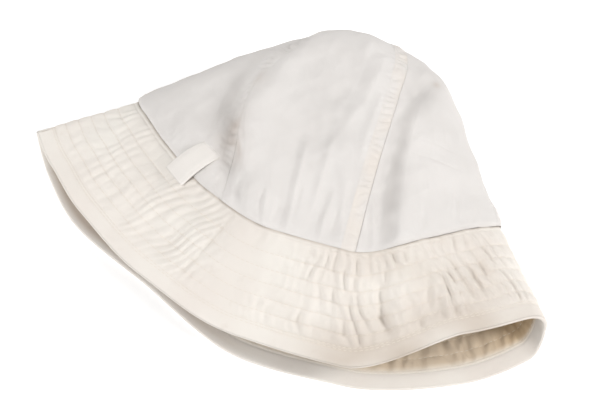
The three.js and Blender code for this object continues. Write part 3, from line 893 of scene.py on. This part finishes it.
# Painted shade in the folds, in a brown and a grey
cotton_tone = cotton.dyed(cotton.measure("brown_shade"), cotton_tone, COTTON_BROWN_SHADE)
cotton_tone = cotton.dyed(cotton.measure("fold_shade"), cotton_tone, COTTON_GREY_SHADE)
cotton_relief = plain_weave(cotton) * 0.7 + cotton.cloudy(300, 0, 1) * 1.5
crown_cotton = cotton.close(cotton_tone, cotton_relief, WEAVE_DEPTH)

GORE_NAMES = (
    "front_gore", "left_gore", "left_under_gore", "middle_under_gore", "right_under_gore", "right_gore",
)
GORES_UNDERNEATH = (2, 3, 4)
GORES_WITH_CREAM_BAND = (0, 3)
GORE_WIDTH = 93.0
GORE_MESH = 0.85
GORE_MESH_UNDERNEATH = 1.5
MORE_COLUMNS = 12
BAND_COLUMNS = 10
FOOT_ROWS = (0.3, 0.6)
LAST_EVEN_ROW = 0.985
TIP_ROWS = (0.99, 0.994, 0.997, 0.999)
# The felled band's own stitch rows: how far from its sides, how wide and how deep
BAND_ROW_IN = 1.2
BAND_ROW_WIDTH = 0.45
BAND_ROW_GROOVE = 0.25
# The wrinkles across the band: their length, their height on it and beyond it, and their reach there
WRINKLE_LENGTH = 4.6
WRINKLE_HEIGHT = 1.3
WRINKLE_BEYOND = 0.6
WRINKLE_REACH = 3.0


def marked(table, along, share):
    """How much the marks of one table show at each point"""
    shown = np.zeros(share.shape)
    for at, on, wide, long, strength in table:
        shown += strength * np.exp(-(shorter_way(share - at) / wide) ** 2 - ((along - on) / long) ** 2)
    return shown


for number, name in enumerate(GORE_NAMES):
    mesh_size = GORE_MESH_UNDERNEATH if number in GORES_UNDERNEATH else GORE_MESH
    columns = int(GORE_WIDTH / mesh_size) + MORE_COLUMNS
    first_row = 0.5 / CROWN_MERIDIAN
    even_rows = np.linspace(first_row, LAST_EVEN_ROW, int(CROWN_MERIDIAN / mesh_size))
    along = np.concatenate([first_row * np.array(FOOT_ROWS), even_rows, TIP_ROWS])[:, None]
    start = gore_seam(number, along)
    end = gore_seam(number + 1, along)
    totals = np.array([ring_walk(height)[0] for height in along[:, 0]])[:, None]
    gore_width = totals * (end - start)
    band = np.minimum(FELLED_WIDTH, 0.4 * gore_width)
    plain_start = band + np.minimum(0.5, 0.1 * gore_width)
    seam_gap = SEWN_GAP / 2
    places = [seam_gap + (band - seam_gap) * k / BAND_COLUMNS for k in range(BAND_COLUMNS + 1)]
    places += [plain_start + (gore_width - seam_gap - plain_start) * k / columns for k in range(columns + 1)]
    run = np.concatenate(places, axis=1)
    share = start + run / totals
    along_grid = np.broadcast_to(along, share.shape)
    outer, normal = crown_skin(along_grid, share)
    inner = outer - normal * CROWN_WALL
    felled = np.zeros(share.shape)
    felled[:, :BAND_COLUMNS + 1] = 1
    creamy = felled * (1.0 if number in GORES_WITH_CREAM_BAND else 0.1)
    creamy = creamy * np.clip(0.6 + 0.45 * crumple(outer, 15, 44), 0.1, 1)
    band_row_places = (BAND_ROW_IN, band - BAND_ROW_IN)
    band_rows = sum(np.exp(-((run - place) / BAND_ROW_WIDTH) ** 2) for place in band_row_places)
    unlike = np.clip(0.7 + 0.6 * crumple(outer, 16, 30 + number), 0.1, 1.6)
    wrinkles = unlike * pinched(along_grid * CROWN_MERIDIAN / WRINKLE_LENGTH + 0.5 * crumple(outer, 20, 40))
    on_band = WRINKLE_HEIGHT * wrinkles * np.sin(math.pi * np.clip(run / band, 0, 1))
    on_band = FELLED_RISE[number] + on_band - BAND_ROW_GROOVE * band_rows
    beyond_band = WRINKLE_BEYOND * wrinkles * np.exp(-np.maximum(0, run - band) / WRINKLE_REACH)
    rise = felled * on_band + (1 - felled) * beyond_band
    outer = outer + normal * (rise * loose(outer[..., 2]))[..., None]
    tones = {"felled": creamy}
    # How strongly the painted fold shade shows at each point
    for key, table in (("brown_shade", BROWN_SHADE_MARKS), ("fold_shade", SHADED_FOLDS)):
        tones[key] = np.clip(marked(table, along_grid, share) * (0.8 + 0.3 * crumple(outer, 9, 50)), 0, 1)
    both_faces = {key: np.concatenate([tone, tone[:, ::-1]], axis=1) for key, tone in tones.items()}
    uv_run = np.concatenate([run, run[:, ::-1]], axis=1)
    uv = np.stack([uv_run, np.broadcast_to(along * CROWN_MERIDIAN, uv_run.shape)], axis=-1)
    ring = np.concatenate([outer, inner[:, ::-1]], axis=1)
    gore = piece(name, ring, wall_faces(*share.shape), uv, both_faces)
    gore.data.materials.append(crown_cotton)
    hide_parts(f"crown_gore_{number + 1}")

# The strap loop
# A flat strap of folded cotton, sewn down on the crown above the seam and standing off it where it
# crosses down to the brim.
LOOP_WIDTH = 17.0
LOOP_LENGTH = 29.0
LOOP_HANG = 8.0
LOOP_WALL = 1.3
LOOP_RISE = 2.0
LOOP_SEAT = 0.35
LOOP_SLANT = math.radians(20)
LOOP_PLACE = 0.368
LOOP_CREAM = (0.90, 0.86, 0.815, 1)
# The foot stands a little off the brim, and the upper end is sunk into the crown's cloth
FOOT_STANDS = 1.1
END_SINKS = 2.2
END_SINKS_OVER = 0.1
# A row of stitches runs along each side: how far from the middle, how wide and how deep
LOOP_ROW_AT = 6.6
LOOP_ROW_WIDTH = 0.5
LOOP_ROW_GROOVE = 0.25
LOOP_ROWS = 40
LOOP_COLUMNS = 26

middle_of_loop = np.array([[LOOP_PLACE]])
brim_faces = brim_plain(np.array([[1.0]]), middle_of_loop)[1]
crown_faces = crown_skin(np.array([[0.0]]), middle_of_loop)[1]
loop_facing = (brim_faces + crown_faces)[0, 0]
loop_facing /= np.linalg.norm(loop_facing)
part = np.linspace(0, 1, LOOP_ROWS)[:, None]
aside = LOOP_WIDTH * (0.5 - np.linspace(0, 1, LOOP_COLUMNS))[None, :]
slant = math.tan(LOOP_SLANT)
on_crown = LOOP_LENGTH - LOOP_HANG
low_share = LOOP_PLACE - (aside - LOOP_HANG * slant) / SEAM_TOTAL
high_share = LOOP_PLACE - (aside + on_crown * slant) / SEAM_TOTAL
low = brim_plain(np.full(low_share.shape, 1 - LOOP_HANG / BRIM_REACH), low_share)[0]
high = crown_skin(np.full(high_share.shape, on_crown / CROWN_MERIDIAN), high_share)[0]
stand = LOOP_SEAT + FOOT_STANDS * (1 - part) + LOOP_RISE * np.sin(math.pi * part)
stand = stand - END_SINKS * np.exp(-(1 - part) / END_SINKS_OVER)
under_face = low + (high - low) * part[..., None] + loop_facing * stand[..., None]
rounded_side = 1 - np.abs(aside / (LOOP_WIDTH / 2)) ** 12
loop_stitching = np.exp(-((np.abs(aside) - LOOP_ROW_AT) / LOOP_ROW_WIDTH) ** 2)
thickness = LOOP_WALL * (0.55 + 0.45 * rounded_side) - LOOP_ROW_GROOVE * loop_stitching
upper_face = under_face + loop_facing * thickness[..., None]
ring = np.concatenate([upper_face, under_face[:, ::-1]], axis=1)
across_mm = np.broadcast_to(np.concatenate([aside, aside[:, ::-1]], axis=1), ring.shape[:2])
down_mm = np.broadcast_to(part * LOOP_LENGTH, ring.shape[:2])
loop_uv = np.stack([across_mm, down_mm], axis=-1)
loop = piece("hanging_loop", ring, wall_faces(LOOP_ROWS, LOOP_COLUMNS), loop_uv)
strap = Finish("loop_cotton", 0.92, 0.1)
loop.data.materials.append(strap.close(LOOP_CREAM, plain_weave(strap), WEAVE_DEPTH))
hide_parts("strap_loop")

# The floor, the light and the camera
# White paper that is lit from within a little, so that it stays white under the cap. A soft light
# stands to the right, fairly low, a broader one in front on the left, and pale walls all round.
FLOOR_REACH = 6
PAPER_WHITE = (0.93, 0.93, 0.93, 1)
PAPER_GLOW = 0.22
WALL_PALE = (1.0, 0.99, 0.98, 1)
WALL_GLOW = 0.58
floor_mesh = bpy.data.meshes.new("floor")
floor_corners = [(x * FLOOR_REACH, y * FLOOR_REACH, 0) for x, y in ((-1, -1), (1, -1), (1, 1), (-1, 1))]
floor_mesh.from_pydata(floor_corners, [], [(0, 1, 2, 3)])
floor = bpy.data.objects.new("floor", floor_mesh)
bpy.context.scene.collection.objects.link(floor)
paper = Finish("floor_paper", 0.9, 0)
paper.shader.inputs["Base Color"].default_value = PAPER_WHITE
paper.shader.inputs["Emission Color"].default_value = (1, 1, 1, 1)
paper.shader.inputs["Emission Strength"].default_value = PAPER_GLOW
floor_mesh.materials.append(paper.material)

world = bpy.data.worlds.new("studio")
world.use_nodes = True
world.node_tree.nodes["Background"].inputs["Color"].default_value = WALL_PALE
world.node_tree.nodes["Background"].inputs["Strength"].default_value = WALL_GLOW
bpy.context.scene.world = world
bpy.context.scene.view_settings.view_transform = "Standard"
bpy.context.scene.view_settings.look = "None"

LIT_POINT = Vector((0.007, -0.009, 0.02))


def way_to(azimuth, elevation):
    """A direction from the cap; azimuth 0 is in front, 90 to the right"""
    turn, rise = math.radians(azimuth), math.radians(elevation)
    return Vector((math.sin(turn) * math.cos(rise), -math.cos(turn) * math.cos(rise), math.sin(rise)))


def soft_light(name, azimuth, elevation, distance, size, power):
    """A square soft light that looks at the cap"""
    lamp = bpy.data.lights.new(name, "AREA")
    lamp.shape = "SQUARE"
    lamp.size = size
    lamp.energy = power
    holder = bpy.data.objects.new(name, lamp)
    bpy.context.scene.collection.objects.link(holder)
    way = way_to(azimuth, elevation)
    holder.location = LIT_POINT + way * distance
    holder.rotation_euler = way.to_track_quat("Z", "Y").to_euler()


soft_light("key_light", azimuth=102, elevation=37, distance=1.7, size=0.4, power=15.5)
soft_light("fill_light", azimuth=-42, elevation=42, distance=1.8, size=0.8, power=15)

# The camera looks down at the mouth from its right
VIEW_AZIMUTH = 22
VIEW_ELEVATION = 62
VIEW_DISTANCE = 0.975
VIEW_POINT = Vector((0.00695, -0.00915, 0.020))
back = way_to(VIEW_AZIMUTH, VIEW_ELEVATION)
camera_data = bpy.data.cameras.new("camera")
camera_data.lens = 100
camera_data.sensor_width = 36
camera = bpy.data.objects.new("camera", camera_data)
bpy.context.scene.collection.objects.link(camera)
camera.location = VIEW_POINT + back * VIEW_DISTANCE
camera.rotation_euler = back.to_track_quat("Z", "Y").to_euler()
bpy.context.scene.camera = camera
